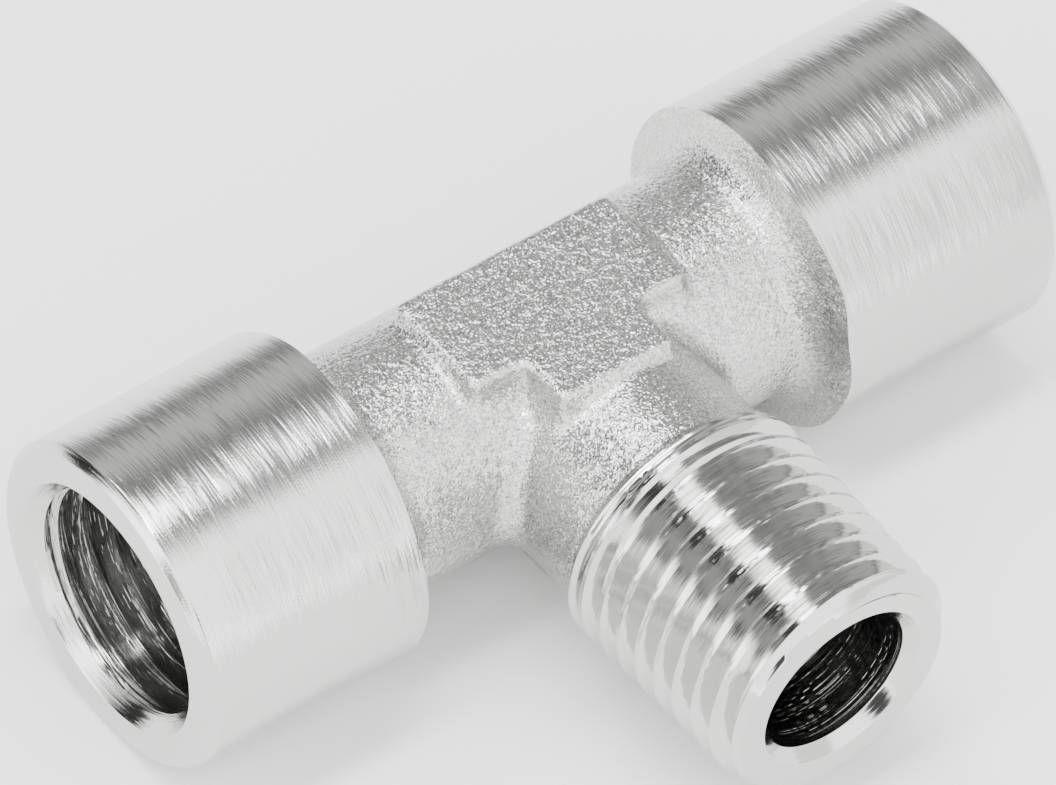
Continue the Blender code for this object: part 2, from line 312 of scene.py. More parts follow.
def first_wall(distance, start, way, reach, steps=48, halvings=26):
    """Where rays from start along way first leave a solid: a scan in equal steps, then halving."""
    marks = np.linspace(0.0, reach, steps)
    outside = np.stack([distance(start + way * mark) > 0 for mark in marks])
    first = np.maximum(np.argmax(outside, 0), 1)
    near = marks[first - 1]
    far = marks[first]
    for _ in range(halvings):
        middle = (near + far) / 2
        out = distance(start + way * middle[..., None]) > 0
        far = np.where(out, middle, far)
        near = np.where(out, near, middle)
    return start + way * far[..., None]


def cross_seam(distance, columns):
    """Points where the branch's columns meet the run, on the upright planes halfway between the two.

    Each column leaves the branch's axis at its own angle from X.
    """
    angles = branch_angles(columns)
    way = np.stack([np.cos(angles), -np.abs(np.cos(angles)), np.sin(angles)], 1)
    return first_wall(distance, np.zeros((columns, 3)), way, RAY_REACH)


def around_run(place, angles, radius):
    """Points about the run's axis; the angle goes from the front round over the top to the back."""
    return np.stack(np.broadcast_arrays(place, -radius * np.cos(angles), radius * np.sin(angles)), -1)


def around_branch(place, angles, radius):
    """Points about the branch's axis at a distance from the crossing; the angle goes from X over Z."""
    return np.stack(np.broadcast_arrays(radius * np.cos(angles), -place, radius * np.sin(angles)), -1)


def spread_angles(shares, start=0.0):
    """Angles from start to a turn less start at equal or other shares, closer together at the pad's edges.

    The step is one over a density that rises where the pad's long walls lie, about 27 degrees off the
    top. Only the angles within the knee from the front make room for start, and the rest stay in line.
    """
    marks = np.linspace(0.0, TURN, ANGLE_MARKS)
    off_top = np.arcsin(np.abs(np.cos(marks)))
    density = 1.0 + PAD_WALL_CROWDING * np.exp(-((off_top - PAD_WALL_ANGLE) / PAD_WALL_SPREAD) ** 4)
    total = np.concatenate([[0.0], np.cumsum((density[1:] + density[:-1]) / 2)])
    total /= total[-1]
    low = np.interp(start, marks, total)
    knee = np.interp(KNEE_ANGLE, marks, total)
    room = (knee - low) / knee
    before = np.where(shares < knee, low + shares * room, shares)
    places = np.where(shares > 1.0 - knee, 1.0 - low - (1.0 - shares) * room, before)
    return np.interp(places, total, marks)


def run_angles(columns):
    """Angles of the run's columns: the first and the last one lie on the parting line in front."""
    return spread_angles(np.linspace(0.0, 1.0, columns + 1))


def branch_angles(columns, closing=0):
    """Angles of the branch's columns, half a step off the parting line; closing repeats the first one."""
    shares = (np.arange(columns + closing) + 0.5) / columns
    angles = spread_angles(shares % 1.0)
    return angles + TURN * (shares >= 1.0)


def crossing_of_run(distance, seam, columns):
    """The run's grid over the width of the branch: each row lies in a plane across the run.

    The rows lie at the seam's points. A row starts at the upper seam, goes round the back in equal
    angles and ends at the lower seam, so its columns fan out from the front to both seams.
    """
    count = len(seam) // 2
    upper = seam[:count][::-1]
    lower = seam[count:]
    start_angle = np.arctan2(upper[:, 2], -upper[:, 1])
    angles = spread_angles(np.linspace(0.0, 1.0, columns + 1), start_angle[:, None])
    way = around_run(0.0, angles, 1.0)
    start = np.zeros_like(way) + np.array([1.0, 0.0, 0.0]) * upper[:, :1, None]
    grid = first_wall(distance, start, way, RAY_REACH)
    grid[:, 0] = upper
    grid[:, -1] = lower
    return grid


def crossing_of_branch(distance, seam, levels):
    """The branch's grid from the seam outwards; levels gives each row's place at each column."""
    angles = branch_angles(len(seam))
    way = np.broadcast_to(around_branch(0.0, angles, 1.0), levels.shape + (3,))
    start = np.stack([np.zeros_like(levels), -levels, np.zeros_like(levels)], -1)
    grid = first_wall(distance, start, way, RAY_REACH)
    grid[0] = seam
    return grid


def spaced(stops, steps):
    """Places from the first stop to the last, in a number of equal steps between each two of them."""
    places = [np.array(stops[:1])]
    for first, last, count in zip(stops[:-1], stops[1:], steps):
        places.append(np.linspace(first, last, count + 1)[1:])
    return np.concatenate(places)


def rounded(corner, before, after, radius, steps):
    """Points of an arc that rounds a corner of a profile."""
    corner, before, after = [np.array(point, float) for point in (corner, before, after)]
    way_a = (before - corner) / np.linalg.norm(before - corner)
    way_b = (after - corner) / np.linalg.norm(after - corner)
    half = math.acos(np.dot(way_a, way_b)) / 2
    reach = radius / math.tan(half)
    middle = (way_a + way_b) / np.linalg.norm(way_a + way_b)
    centre = corner + middle * radius / math.sin(half)
    start = corner + way_a * reach - centre
    turn = np.sign(np.cross(start, corner + way_b * reach - centre))
    angles = turn * np.linspace(0.0, math.pi - 2 * half, steps)
    turned_x = start[0] * np.cos(angles) - start[1] * np.sin(angles)
    turned_y = start[0] * np.sin(angles) + start[1] * np.cos(angles)
    return centre + np.stack([turned_x, turned_y], 1)


# Run: necks, shoulders, collars and ports

# Waves of both rims: height in mm, number round the rim, and phase, which is opposite on the two sides
RIM_WAVES = ((0.05, 3, 1.0), (0.035, 7, 2.1))
# Where the right rim stands out or back: its height in mm, its angle from the front and its width
RIM_DENTS = ((0.15, 0.56, 0.17), (-0.12, 0.22, 0.13), (0.08, -0.13, 0.10))


def rim_place(side, angles):
    """Where the turned collar ends and the forged shoulder starts, which wanders round the rim."""
    off = (angles + math.pi) % TURN - math.pi
    wander = 0.0
    for height, waves, phase in RIM_WAVES:
        wander = wander + height * np.sin(waves * off + phase * side)
    dents = 0.0
    for height, middle, width in RIM_DENTS:
        dents = dents + height * np.exp(-((off - middle) / width) ** 2)
    return RUN_REACH - COLLAR_LENGTH + side * FORGING_SHIFT + wander + dents * (side > 0)


def shoulder_profile(side):
    """Foot fillet and cone of one shoulder, as places along the run and radii."""
    rim = RUN_REACH - COLLAR_LENGTH + side * FORGING_SHIFT
    foot = (rim - (COLLAR_RADIUS - NECK_RADIUS) * math.tan(SHOULDER_ANGLE), NECK_RADIUS)
    edge = (rim, COLLAR_RADIUS)
    arc = rounded(foot, (0.0, NECK_RADIUS), edge, SHOULDER_FILLET, FOOT_ROWS)
    cone = np.linspace(arc[-1], edge, CONE_ROWS)
    return arc, cone[1:]


def neck_rows(side, seam_end):
    """Places along the neck from the end of the seam to the shoulder's foot, closer at the pad's end."""
    arc, _ = shoulder_profile(side)
    pad_end = PAD_BAR_HALF + side * FORGING_SHIFT
    fillet_end = NECK_RADIUS + NECK_FILLET
    if pad_end > seam_end - PAD_FOOT_REACH:
        stops = (seam_end, seam_end + PAD_END_BAND, fillet_end + 2 * PAST_FILLET, arc[0, 0])
        return spaced(stops, NECK_STEPS_BY_PAD)
    return spaced((seam_end, fillet_end + PAST_FILLET, arc[0, 0]), NECK_STEPS)


def add_stretch(skin, distance, side, first_row, places, finish, grit):
    """A stretch of the run from the crossing's last row outwards, by rays across the run.

    The first row is open at the front, between the two ends of the seam, and the next one is closed,
    so one triangle fills the gap between them.
    """
    columns = len(first_row) - 1
    angles = run_angles(columns)
    way = np.broadcast_to(around_run(0.0, angles, 1.0), (len(places), columns + 1, 3))
    start = np.zeros(way.shape) + np.array([side, 0.0, 0.0]) * places[:, None, None]
    grid = first_wall(distance, start, way, RAY_REACH)
    grid[:, -1] = grid[:, 0]
    skin.add_grid(np.concatenate([first_row[None], grid]), finish, grit=grit)
    corner = np.stack([first_row[0], first_row[-1], grid[0, 0]])
    skin.add(corner, np.array([[0, 1, 2]]), finish, grit)


def add_neck(skin, side, first_row):
    """The neck from the end of the seam to the foot of the shoulder."""
    places = neck_rows(side, abs(first_row[0, 0]))[1:]
    add_stretch(skin, forged_distance, side, first_row, places, FORGED, 1.0)


def add_shoulder(skin, side):
    """Shoulder from its foot fillet up to the wandering rim, turned about the run."""
    arc, cone = shoulder_profile(side)
    profile = np.concatenate([arc, cone])
    angles = run_angles(RUN_COLUMNS)
    rise = (profile[:, 1] - NECK_RADIUS) / (COLLAR_RADIUS - NECK_RADIUS)
    shift = rim_place(side, angles) - profile[-1, 0]
    places = profile[:, :1] + rise[:, None] ** 2 * shift[None, :]
    grit = np.clip((1.0 - rise) / RIM_GRIT_SHARE, 0.0, 1.0)
    skin.add_grid(around_run(side * places, angles, profile[:, 1:]), FORGED, grit=grit)


def add_collar(skin, side):
    """Turned outside of a collar from the rim to the mouth's face, with both edges broken."""
    angles = run_angles(RUN_COLUMNS)
    rim = rim_place(side, angles)
    back = (RUN_REACH - COLLAR_CHAMFER, COLLAR_RADIUS)
    front = (RUN_REACH, COLLAR_RADIUS - COLLAR_CHAMFER)
    outer = np.concatenate([
        rounded(back, (0.0, COLLAR_RADIUS), front, COLLAR_EDGE_ROUND, EDGE_STEPS),
        rounded(front, back, (RUN_REACH, 0.0), COLLAR_EDGE_ROUND, EDGE_STEPS),
    ])
    barrel = np.linspace(rim, np.full(len(angles), outer[0, 0]), BARREL_ROWS)
    skin.add_grid(around_run(side * barrel, angles, COLLAR_RADIUS), TURNED)
    lip = np.concatenate([outer, mouth_edge()])
    skin.add_grid(around_run(side * lip[:, :1], angles, lip[:, 1:]), TURNED)


def mouth_foot():
    """Inner end of the mouth's countersink."""
    depth = (PORT_MOUTH_RADIUS - PORT_MINOR_RADIUS) / math.tan(PORT_MOUTH_ANGLE)
    return RUN_REACH - depth, PORT_MINOR_RADIUS


def mouth_edge():
    """Rounded edge between the mouth's face and its countersink, as places along the run and radii."""
    corner = (RUN_REACH, PORT_MOUTH_RADIUS)
    return rounded(corner, (RUN_REACH, COLLAR_RADIUS), mouth_foot(), MOUTH_EDGE_ROUND, EDGE_STEPS)


def thread_share(turn):
    """How deep a groove is at a share of the pitch: flat crest, straight flanks, flat root."""
    off_crest = np.abs(turn % 1.0 - 0.5) - THREAD_FLAT / 2
    return np.clip(off_crest / (0.5 - THREAD_FLAT), 0.0, 1.0)


def crest_edges(turn):
    """One at the two edges of the crest and zero a small share of the pitch away from them."""
    away = np.abs(np.abs(turn % 1.0 - 0.5) - THREAD_FLAT / 2)
    return np.clip(1.0 - away / BURR_WIDTH_SHARE, 0.0, 1.0)


def ragged(points, size, seed, lift, least):
    """How much of its full height a burr has at points: a random field, lifted and kept in its range."""
    return np.clip(grit_field(points, size, BURR_WAVES, seed) + lift, least, BURR_MOST_SHARE)


def thread_marks(after_root, before_crest, between=()):
    """Shares of the pitch where a thread's rows lie: five on each flank, and those between the flanks."""
    half = THREAD_FLAT / 2
    rise = (half, half + after_root, FLANK_MIDDLE, before_crest - half, 0.5 - half)
    return rise + between + tuple(1.0 - mark for mark in reversed(rise))


def helix_levels(angles, fixed, low, high, marks):
    """Places of a thread's rows: the marks of every turn, with the fixed places sorted in among them."""
    turns = np.arange(math.floor(low / THREAD_PITCH) - 2, math.ceil(high / THREAD_PITCH) + 2)
    helix = ((turns[:, None] + np.array(marks)) * THREAD_PITCH).ravel()
    levels = helix[:, None] + angles[None, :] / TURN * THREAD_PITCH
    levels = np.clip(levels, low, high)
    fixed = np.broadcast_to(np.array(fixed)[:, None], (len(fixed), len(angles)))
    return np.sort(np.concatenate([levels, fixed]), 0)


def port_thread(side, levels, angles):
    """Radius of a port's thread: a groove cut outwards that fades at the tap's end and at the mouth."""
    low = RUN_REACH - PORT_DEPTH
    turn = levels / THREAD_PITCH + side * angles / TURN
    start_fade = np.clip((levels - low - TAP_LEAD) / TAP_FADE, 0.0, 1.0)
    mouth_fade = np.clip((mouth_foot()[0] + THREAD_PAST_FOOT - levels) / THREAD_START, 0.0, 1.0)
    depth = (PORT_MAJOR_RADIUS - PORT_MINOR_RADIUS) * start_fade * mouth_fade
    share = ragged(around_run(side * levels, angles, PORT_MINOR_RADIUS), *PORT_BURR)
    burr = BURR_HEIGHT * crest_edges(turn + 0.5) * start_fade * mouth_fade * share
    return PORT_MINOR_RADIUS + depth * (1.0 - thread_share(turn)) - burr


def add_port(skin, side):
    """Tapped port from its countersink to its drill cone; returns the place where the cone ends.

    The ring of points is halved before the thread and after it.
    """
    edge_place, edge_radius = mouth_edge()[-1]
    low = RUN_REACH - PORT_DEPTH
    high = edge_place - MOUTH_BAND
    mouth = around_run(side * edge_place, run_angles(RUN_COLUMNS)[:-1], edge_radius)
    band_radius = edge_radius - MOUTH_BAND * math.tan(PORT_MOUTH_ANGLE)
    angles = run_angles(RUN_COLUMNS // 2)
    band = around_run(side * high, angles, band_radius)
    skin.add_halving(mouth, band[:-1], TURNED)
    levels = helix_levels(-side * angles, [low, high], low, high, thread_marks(*PORT_FLANK))
    thread = port_thread(side, levels, angles)
    cone = PORT_MOUTH_RADIUS - (RUN_REACH - levels) * math.tan(PORT_MOUTH_ANGLE)
    grid = around_run(side * levels, angles, np.maximum(thread, cone))
    grid[-1] = band
    sunk = cone >= thread
    skin.add_grid(grid, np.where(sunk[:-1, :-1] & sunk[1:, 1:], TURNED, TAPPED))
    return add_drill_cone(skin, side, grid[0, :-1])


def add_drill_cone(skin, side, ring):
    """Cone that the drill leaves at the bottom of a port; returns the place of its small end."""
    low = RUN_REACH - PORT_DEPTH
    tip = low - (PORT_MINOR_RADIUS - PASSAGE_RADIUS) / math.tan(DRILL_TIP_ANGLE)
    step_radius = PORT_MINOR_RADIUS - CONE_STEP * math.tan(DRILL_TIP_ANGLE)
    angles = run_angles(INNER_RUN_COLUMNS)[:-1]
    coarse = around_run(side * (low - CONE_STEP), angles, step_radius)
    skin.add_halving(ring, coarse, TAPPED)
    foot = around_run(side * tip, angles, PASSAGE_RADIUS)
    skin.add_grid(np.stack([coarse, foot]), TAPPED, True)
    return tip


def add_passage(skin, side, tip, first_row):
    """Plain stretch of the run's passage from the crossing to the drill cone."""
    places = np.linspace(abs(first_row[0, 0]), tip, PASSAGE_ROWS)[1:]
    add_stretch(skin, bore_distance, side, first_row, places, TAPPED, 0.0)


# Branch: neck, thread and bore

def branch_levels(seam):
    """Rows of the branch's neck: from the seam to the pad's front, close together over it, then on."""
    width = np.abs(seam[:, 0])
    fillet_end = np.full(len(seam), NECK_RADIUS + NECK_FILLET + PAST_FILLET)
    thread_start = np.full(len(seam), BLANK_START)
    pad_front = PAD_STEM_REACH + PAD_SET_FORWARD - PAD_FOOT_ROUND
    front = np.maximum(pad_front, width + FRONT_SHARE * (fillet_end - width))
    over_front = front + OVER_FRONT_SHARE * (fillet_end - front)
    return spaced((-seam[:, 1], front, over_front, fillet_end, thread_start), BRANCH_NECK_STEPS)


def male_groove(levels, angles):
    """Depth of the external thread's helical groove, which fades out towards the neck."""
    turn = levels / THREAD_PITCH - angles / TURN
    start = BRANCH_REACH - THREAD_LENGTH - THREAD_RUNOUT / 2
    fade = np.clip((levels - start) / THREAD_RUNOUT, 0.0, 1.0)
    return thread_share(turn) * fade * THREAD_DEPTH


def add_thread(skin):
    """External taper thread with the chamfers at its back and its end, on rows that follow the helix."""
    angles = branch_angles(BRANCH_COLUMNS, 1)
    major_end = GAUGE_RADIUS - GAUGE_LENGTH * TAPER
    back_top = BLANK_START + (GAUGE_RADIUS + BLANK_SPARE - NECK_RADIUS) / math.tan(BLANK_BACK_ANGLE)
    end_top = BRANCH_REACH - (major_end - THREAD_END_RADIUS) / math.tan(THREAD_END_ANGLE)
    fixed = [BLANK_START]
    fixed += [back_top + row for row in BACK_TOP_ROWS]
    fixed += [end_top + row for row in END_TOP_ROWS]
    fixed += [BRANCH_REACH]
    marks = thread_marks(*BRANCH_FLANK, between=(0.5,))
    levels = helix_levels(angles, fixed, BLANK_START, BRANCH_REACH, marks)
    from_end = BRANCH_REACH - levels
    thread = GAUGE_RADIUS + (from_end - GAUGE_LENGTH) * TAPER - male_groove(levels, angles)
    end = THREAD_END_RADIUS + from_end * math.tan(THREAD_END_ANGLE)
    back = NECK_RADIUS + (levels - BLANK_START) * math.tan(BLANK_BACK_ANGLE)
    below_chamfers = np.clip((np.minimum(end, back) - thread) / BURR_FADE, 0.0, 1.0)
    burr = crest_edges(levels / THREAD_PITCH - angles / TURN) * below_chamfers
    radius = np.minimum(np.minimum(end, back), thread)
    share = ragged(around_branch(levels, angles, radius), *BRANCH_BURR)
    grid = around_branch(levels, angles, radius + BURR_HEIGHT * burr * share)
    skin.add_grid(grid, THREADED)
    return grid[-1, :-1]


def add_branch_mouth(skin, end_row):
    """End face from the thread's last row, countersink, and the bore with its ring halved twice."""
    angles = branch_angles(BRANCH_COLUMNS)
    sink_edge = (BRANCH_REACH, BRANCH_BORE_RADIUS + BORE_COUNTERSINK)
    sink_end = (BRANCH_REACH - BORE_COUNTERSINK, BRANCH_BORE_RADIUS)
    face = rounded(sink_edge, (BRANCH_REACH, THREAD_END_RADIUS), sink_end, SINK_EDGE_ROUND, EDGE_STEPS)
    foot = rounded(sink_end, sink_edge, (0.0, BRANCH_BORE_RADIUS), SINK_FOOT_ROUND, EDGE_STEPS)
    profile = np.concatenate([face, foot])
    grid = around_branch(profile[:, :1], angles, profile[:, 1:])
    skin.add_grid(np.concatenate([end_row[None], grid]), THREADED, True)
    ring = grid[-1]
    place = foot[-1, 0]
    columns = BRANCH_COLUMNS
    while columns > INNER_BRANCH_COLUMNS:
        columns //= 2
        place -= BORE_STEP
        coarse = around_branch(place, branch_angles(columns), BRANCH_BORE_RADIUS)
        skin.add_halving(ring, coarse, DRILLED)
        ring = coarse
    return place


def add_outside(skin):
    """Forged crossing, necks, shoulders and collars."""
    seam = cross_seam(forged_distance, BRANCH_COLUMNS)
    run = crossing_of_run(forged_distance, seam, RUN_COLUMNS)
    skin.add_grid(run, FORGED, grit=1.0)
    levels = branch_levels(seam)
    grit = np.clip((BLANK_START - levels[:, 0]) / THREAD_GRIT_FADE, 0.0, 1.0)
    skin.add_grid(crossing_of_branch(forged_distance, seam, levels), FORGED, True, grit)
    for side, first_row in ((-1, run[0]), (1, run[-1])):
        add_neck(skin, side, first_row)
        add_shoulder(skin, side)
        add_collar(skin, side)


def add_inside(skin, bore_end):
    """Ports, passages and the bore of the branch up to where they meet."""
    seam = cross_seam(bore_distance, INNER_BRANCH_COLUMNS)
    run = crossing_of_run(bore_distance, seam, INNER_RUN_COLUMNS)
    skin.add_grid(run, TAPPED)
    rows = np.linspace(0.0, 1.0, BORE_ROWS)[:, None]
    levels = -seam[:, 1] + rows * (bore_end + seam[:, 1])
    skin.add_grid(crossing_of_branch(bore_distance, seam, levels), DRILLED, True)
    for side, first_row in ((-1, run[0]), (1, run[-1])):
        tip = add_port(skin, side)
        add_passage(skin, side, tip, first_row)


# Relief and mesh

# Layers of the blasted skin: height in mm, grain in mm, number of waves and seed
RELIEF_LAYERS = ((0.003, 0.7, 48, 3), (0.003, 2.4, 32, 5))
# Flash on the parting line: height and half width in mm, mean and spread of its height as shares, how
# far its grain is stretched, and the grain in mm, number of waves and seed
FLASH_HEIGHT = 0.05
FLASH_HALF_WIDTH = 0.22
FLASH_MEAN = 0.6
FLASH_SPREAD = 0.4
FLASH_STRETCH = (1.0, 1.0, 0.2)
FLASH_GRAIN = (1.3, 24, 7)
# Shortest and longest wave of a random field, as shares of its grain
WAVE_RANGE = (0.7, 1.5)


def grit_field(points, size, count, seed):
    """A random field of about unit height: the sum of plane waves with lengths near a grain's size."""
    random = np.random.default_rng(seed)
    way = random.normal(size=(count, 3))
    way /= np.linalg.norm(way, axis=1)[:, None]
    waves = way * (TURN / (size * random.uniform(*WAVE_RANGE, (count, 1))))
    phases = random.uniform(0.0, TURN, count)
    return np.cos(points @ waves.T + phases).sum(-1) / math.sqrt(count / 2)


def forged_relief(points):
    """Height of the blasted forging skin over its smooth shape, with the flash on the parting line."""
    grains = 0.0
    for height, *grain_shape in RELIEF_LAYERS:
        grains = grains + height * grit_field(points, *grain_shape)
    share = FLASH_MEAN + FLASH_SPREAD * grit_field(points * np.array(FLASH_STRETCH), *FLASH_GRAIN)
    flash = FLASH_HEIGHT * np.exp(-(points[:, 2] / FLASH_HALF_WIDTH) ** 4) * share
    return grains + flash


def welded_mesh(skin):
    """One mesh of all grids, welded along their shared borders."""
    mesh = bpy.data.meshes.new("tee_fitting")
    points = np.concatenate(skin.points)
    faces = np.concatenate(skin.faces)
    mesh.from_pydata(points, [], faces)
    mesh.polygons.foreach_set("material_index", np.concatenate(skin.finish))
    grit = mesh.attributes.new("grit", "FLOAT", "POINT")
    grit.data.foreach_set("value", np.concatenate(skin.grit))
    bm = bmesh.new()
    bm.from_mesh(mesh)
    bmesh.ops.remove_doubles(bm, verts=bm.verts, dist=WELD_DISTANCE)
    bmesh.ops.dissolve_degenerate(bm, edges=bm.edges, dist=WELD_DISTANCE)
    bmesh.ops.recalc_face_normals(bm, faces=bm.faces)
    bm.to_mesh(mesh)
    bm.free()
    return mesh


def place_mesh(mesh):
    """Lays the relief on the forged part, and moves the mesh from the crossing to the CAD's place."""
    count = len(mesh.vertices)
    places = np.empty(count * 3, np.float32)
    normals = np.empty(count * 3, np.float32)
    share = np.empty(count, np.float32)
    mesh.vertices.foreach_get("co", places)
    mesh.vertex_normals.foreach_get("vector", normals)
    mesh.attributes["grit"].data.foreach_get("value", share)
    places = places.reshape(-1, 3).astype(float)
    height = share * forged_relief(places)
    places += normals.reshape(-1, 3) * height[:, None]
    places = (places + CROSSING) * MM
    mesh.vertices.foreach_set("co", places.ravel())
    mesh.update()


def fitting_body():
    """The whole fitting as one closed skin."""
    skin = Skin()
    add_outside(skin)
    end_row = add_thread(skin)
    bore_end = add_branch_mouth(skin, end_row)
    add_inside(skin, bore_end)
    mesh = welded_mesh(skin)
    place_mesh(mesh)
    mesh.shade_smooth()
    mesh.set_sharp_from_angle(angle=SHARP_ANGLE)
    body = bpy.data.objects.new("tee_fitting", mesh)
    bpy.context.scene.collection.objects.link(body)
    for finish in (forged_nickel, turned_nickel, threaded_nickel, tapped_nickel, drilled_nickel):
        body.data.materials.append(finish())
    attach(body, "root")
    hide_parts("tee_body")
    return body


# Finishes

# Makes the deepest tool marks tilt the surface fully and leaves the rest faint
SCORE_GAIN = 8.0
# Tool lines, in mm across them: on turned and bored faces, on the thread, and the slow change between
TURNED_LINE = 0.035
THREAD_LINE = 0.045
SLOW_LINE = 0.12
# Blasted skin, in mm: its grains, the dimples under them, its facets, and patches of other roughness
GRAIN = 0.13
DIMPLE = 0.45
FACET = 0.085
PATCH = 1.1
# Grain of the plating on turned faces, in mm
PLATING_GRAIN = 0.09
# Axes that tools turn about
RUN_AXIS = 0
BRANCH_AXIS = 1
# Range of a noise that holds most of its values
NOISE_LOW = 0.3
NOISE_HIGH = 0.7


def linear(hex_colour):
    """An sRGB hex colour as linear red, green and blue with full alpha."""
    parts = [int(hex_colour[i:i + 2], 16) / 255 for i in (1, 3, 5)]
    return [p / 12.92 if p <= 0.04045 else ((p + 0.055) / 1.055) ** 2.4 for p in parts] + [1.0]


def node(tree, kind, links=(), **settings):
    """Adds a node; settings are its properties or, if they name a socket, that socket's value."""
    item = tree.nodes.new(kind)
    for name, value in settings.items():
        if hasattr(item, name):
            setattr(item, name, value)
        else:
            item.inputs[name.replace("_", " ")].default_value = value
    for socket, source in dict(links).items():
        tree.links.new(source, item.inputs[socket])
    return item


def metal(name, colour, roughness):
    """A metal with its own colour and roughness; returns the material, its tree and its shader."""
    material = bpy.data.materials.new(name)
    material.use_nodes = True
    tree = material.node_tree
    shader = tree.nodes["Principled BSDF"]
    shader.inputs["Base Color"].default_value = linear(colour)
    shader.inputs["Metallic"].default_value = 1.0
    shader.inputs["Roughness"].default_value = roughness
    return material, tree, shader


def grain(tree, size, detail=2.0):
    """Noise in the object's own space with a grain of about the given size in millimetres."""
    place = node(tree, "ShaderNodeTexCoord").outputs["Object"]
    scale = [1.0 / (size * MM)] * 3
    mapped = node(tree, "ShaderNodeMapping", {"Vector": place}, Scale=scale)
    links = {"Vector": mapped.outputs[0]}
    noise = node(tree, "ShaderNodeTexNoise", links, Scale=1.0, Detail=detail)
    return noise.outputs["Fac"]


def tool_marks(tree, axis, fine, slow, detail=2.0):
    """Noise that is fine along an axis and away from it, and slow round it, as a turning tool leaves.

    fine and slow are sizes in millimetres.
    """
    place = node(tree, "ShaderNodeTexCoord").outputs["Object"]
    sizes = [fine if number == axis else slow for number in range(3)]
    centred = node(tree, "ShaderNodeMapping", {"Vector": place}, Location=tuple(-CROSSING * MM))
    parts = node(tree, "ShaderNodeSeparateXYZ", {"Vector": centred.outputs[0]}).outputs
    across = [parts[number] for number in range(3) if number != axis]
    squares = [maths(tree, "MULTIPLY", part, part) for part in across]
    radius = maths(tree, "SQRT", maths(tree, "ADD", *squares))
    scaled = node(tree, "ShaderNodeMapping", {"Vector": centred.outputs[0]})
    scaled.inputs["Scale"].default_value = [1.0 / (size * MM) for size in sizes]
    links = {"Vector": scaled.outputs[0], "W": maths(tree, "DIVIDE", radius, fine * MM)}
    noise = node(tree, "ShaderNodeTexNoise", links, noise_dimensions="4D", Scale=1.0, Detail=detail)
    return noise.outputs["Fac"]


def tilted(tree, axis, marks, tilt_round, tilt_along):
    """Normal that tool marks tilt round an axis and along it, by sines of the tilt from black to white."""
    normal = node(tree, "ShaderNodeNewGeometry").outputs["Normal"]
    turning = node(tree, "ShaderNodeCombineXYZ")
    turning.inputs[axis].default_value = 1.0
    round_it = vectors(tree, "CROSS_PRODUCT", turning.outputs[0], normal)
    along_it = vectors(tree, "CROSS_PRODUCT", round_it, normal)
    for way, mark, tilt in ((round_it, marks[0], tilt_round), (along_it, marks[1], tilt_along)):
        amount = maths(tree, "MULTIPLY", maths(tree, "SUBTRACT", mark, 0.5), 2.0 * tilt)
        normal = vectors(tree, "ADD", normal, vectors(tree, "SCALE", way, amount))
    return vectors(tree, "NORMALIZE", normal)


def vectors(tree, operation, first, second=None):
    """One Vector Math node; second is a vector's socket, or a number's socket for SCALE."""
    item = node(tree, "ShaderNodeVectorMath", operation=operation)
    tree.links.new(first, item.inputs[0])
    if second is not None:
        tree.links.new(second, item.inputs["Scale" if operation == "SCALE" else 1])
    return item.outputs["Vector"]


def maths(tree, operation, first, second=0.0):
    """One Math node; first and second are sockets or numbers."""
    item = node(tree, "ShaderNodeMath", operation=operation)
    for socket, value in zip(item.inputs, (first, second)):
        if isinstance(value, (int, float)):
            socket.default_value = value
        else:
            tree.links.new(value, socket)
    return item.outputs[0]


def bump(tree, height, depth, below=None):
    """Bump of a depth in millimetres from black to white, laid over another bump."""
    links = {"Height": height}
    if below is not None:
        links["Normal"] = below
    return node(tree, "ShaderNodeBump", links, Strength=1.0, Distance=depth * MM).outputs["Normal"]


def spanned(tree, value, low, high, to_low, to_high):
    """Maps a value's range to another range."""
    item = node(tree, "ShaderNodeMapRange", {"Value": value})
    for name, number in zip(("From Min", "From Max", "To Min", "To Max"), (low, high, to_low, to_high)):
        item.inputs[name].default_value = number
    return item.outputs["Result"]


def roughened(tree, shader, noise, smooth, rough):
    """Lets a noise move the shader's roughness between two values."""
    span = spanned(tree, noise, NOISE_LOW, NOISE_HIGH, smooth, rough)
    tree.links.new(span, shader.inputs["Roughness"])


def paint_shade_and_highlight(tree, shader, value, low, high, dark, light):
    """Mixes the shader's colour between two colours over a range of a value: painted shade where it is
    low, painted highlight where it is high.
    """
    share = spanned(tree, value, low, high, 0.0, 1.0)
    item = node(tree, "ShaderNodeMix", {"Factor": share}, data_type="RGBA")
    for socket in item.inputs:
        if socket.type == "RGBA" and socket.name in ("A", "B"):
            socket.default_value = linear(dark if socket.name == "A" else light)
    result = [socket for socket in item.outputs if socket.type == "RGBA"][0]
    tree.links.new(result, shader.inputs["Base Color"])


def facets(tree, size, tilt):
    """Normal that leans a random way in each small cell, as the facets left by blasting do."""
    place = node(tree, "ShaderNodeTexCoord").outputs["Object"]
    cells = node(tree, "ShaderNodeTexVoronoi", {"Vector": place}, Scale=1.0 / (size * MM))
    middle = node(tree, "ShaderNodeVectorMath", {0: cells.outputs["Color"]}, operation="SUBTRACT")
    middle.inputs[1].default_value = (0.5, 0.5, 0.5)
    lean = vectors(tree, "SCALE", middle.outputs[0], maths(tree, "ADD", 2.0 * tilt))
    normal = node(tree, "ShaderNodeNewGeometry").outputs["Normal"]
    return vectors(tree, "NORMALIZE", vectors(tree, "ADD", normal, lean))


